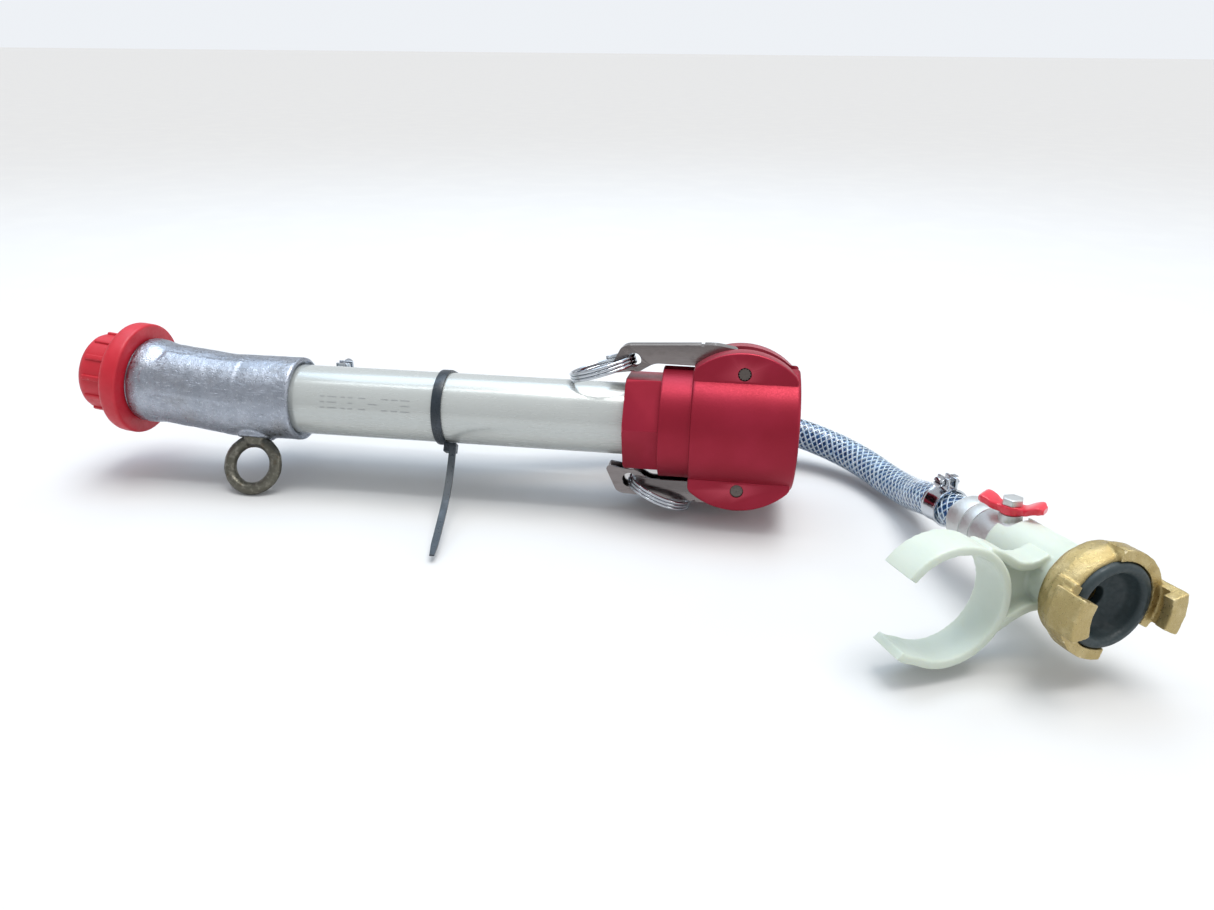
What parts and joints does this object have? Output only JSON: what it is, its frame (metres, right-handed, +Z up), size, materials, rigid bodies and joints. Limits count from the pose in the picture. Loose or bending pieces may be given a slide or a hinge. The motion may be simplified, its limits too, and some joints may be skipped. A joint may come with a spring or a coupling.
{
  "type": "spray lance",
  "caption": "Short plaster spray lance: ribbed red nozzle cap, cast head, 1 inch pipe, red cam-lock coupling with two ringed arms, and a clear air hose to a ball valve and claw coupling.",
  "frame": {"origin": "centre of the cam-lock coupling's mouth, on its front face", "axes": "+X along the pipe axis, out of the coupling's mouth; +Z up as the lance lies on the ground; +Y to the side that the air hose runs on"},
  "size_m": [0.4649, 0.1896, 0.0796],
  "materials": {
    "cast_aluminium": "satin",
    "galvanised_steel": "gloss",
    "red_plastic": "matte",
    "red_anodised": "satin",
    "stainless": "polished",
    "chrome": "polished",
    "clear_hose": "gloss",
    "nickel_brass": "brushed",
    "red_paint": "gloss",
    "cream_plastic": "satin",
    "cast_brass": "rough",
    "black_rubber": "matte",
    "black_nylon": "satin",
    "white_seat": "satin"
  },
  "bodies": {
    "lance": {"nozzle_insert": "black_rubber", "nozzle_washer": "black_rubber", "head_casting": "cast_aluminium", "air_tube": "stainless", "air_inlet_barb": "nickel_brass", "inlet_clamp_band": "chrome", "inlet_clamp_screw": "chrome", "eye_bolt": "stainless", "pipe": "galvanised_steel", "cable_tie": "black_nylon", "coupling_body": "red_anodised", "coupling_gasket": "black_rubber", "cam_pin_upper": "stainless", "cam_pin_lower": "stainless", "air_hose": "clear_hose", "valve_clamp_band": "chrome", "valve_clamp_screw": "chrome", "valve_barb": "nickel_brass", "valve_body": "nickel_brass", "valve_seat_front": "white_seat", "valve_seat_rear": "white_seat", "claw_nipple": "cast_brass", "pole_clip": "cream_plastic", "claw_coupling": "cast_brass", "claw_seal": "black_rubber"},
    "cap": {"nozzle_cap": "red_plastic"},
    "upper_arm": {"cam_arm_upper": "stainless"},
    "lower_arm": {"cam_arm_lower": "stainless"},
    "upper_ring": {"pull_ring_upper": "chrome"},
    "lower_ring": {"pull_ring_lower": "chrome"},
    "lever": {"valve_lever": "red_paint", "lever_nut": "nickel_brass", "valve_stem": "nickel_brass", "valve_ball": "chrome"}
  },
  "joints": [
    {"name": "upper_cam", "type": "hinge", "parent": "lance", "child": "upper_arm", "pos_m": [-0.0245, 0.00457, 0.0259], "axis": [0, 0.9848, -0.1736], "range_deg": [0, 100]},
    {"name": "lower_cam", "type": "hinge", "parent": "lance", "child": "lower_arm", "pos_m": [-0.0245, -0.00457, -0.0259], "axis": [0, -0.9848, 0.1736], "range_deg": [0, 100]},
    {"name": "upper_ring_swing", "type": "hinge", "parent": "upper_arm", "child": "upper_ring", "pos_m": [-0.074, 0.00488, 0.02767], "axis": [0, 0.9848, -0.1736], "range_deg": [0, 110]},
    {"name": "lower_ring_swing", "type": "hinge", "parent": "lower_arm", "child": "lower_ring", "pos_m": [-0.074, -0.00488, -0.02767], "axis": [0, 0.9848, -0.1736], "range_deg": [0, 110]},
    {"name": "valve_turn", "type": "hinge", "parent": "lance", "child": "lever", "pos_m": [0.07774, -0.0655, -0.01436], "axis": [-0.0354, 0.0796, 0.9962], "range_deg": [-33, 57]},
    {"name": "cap_turn", "type": "hinge", "parent": "lance", "child": "cap", "pos_m": [-0.31495, 0, 0.00564], "axis": [-0.9925, 0, 0.1219], "range_deg": [0, 360]}
  ]
}
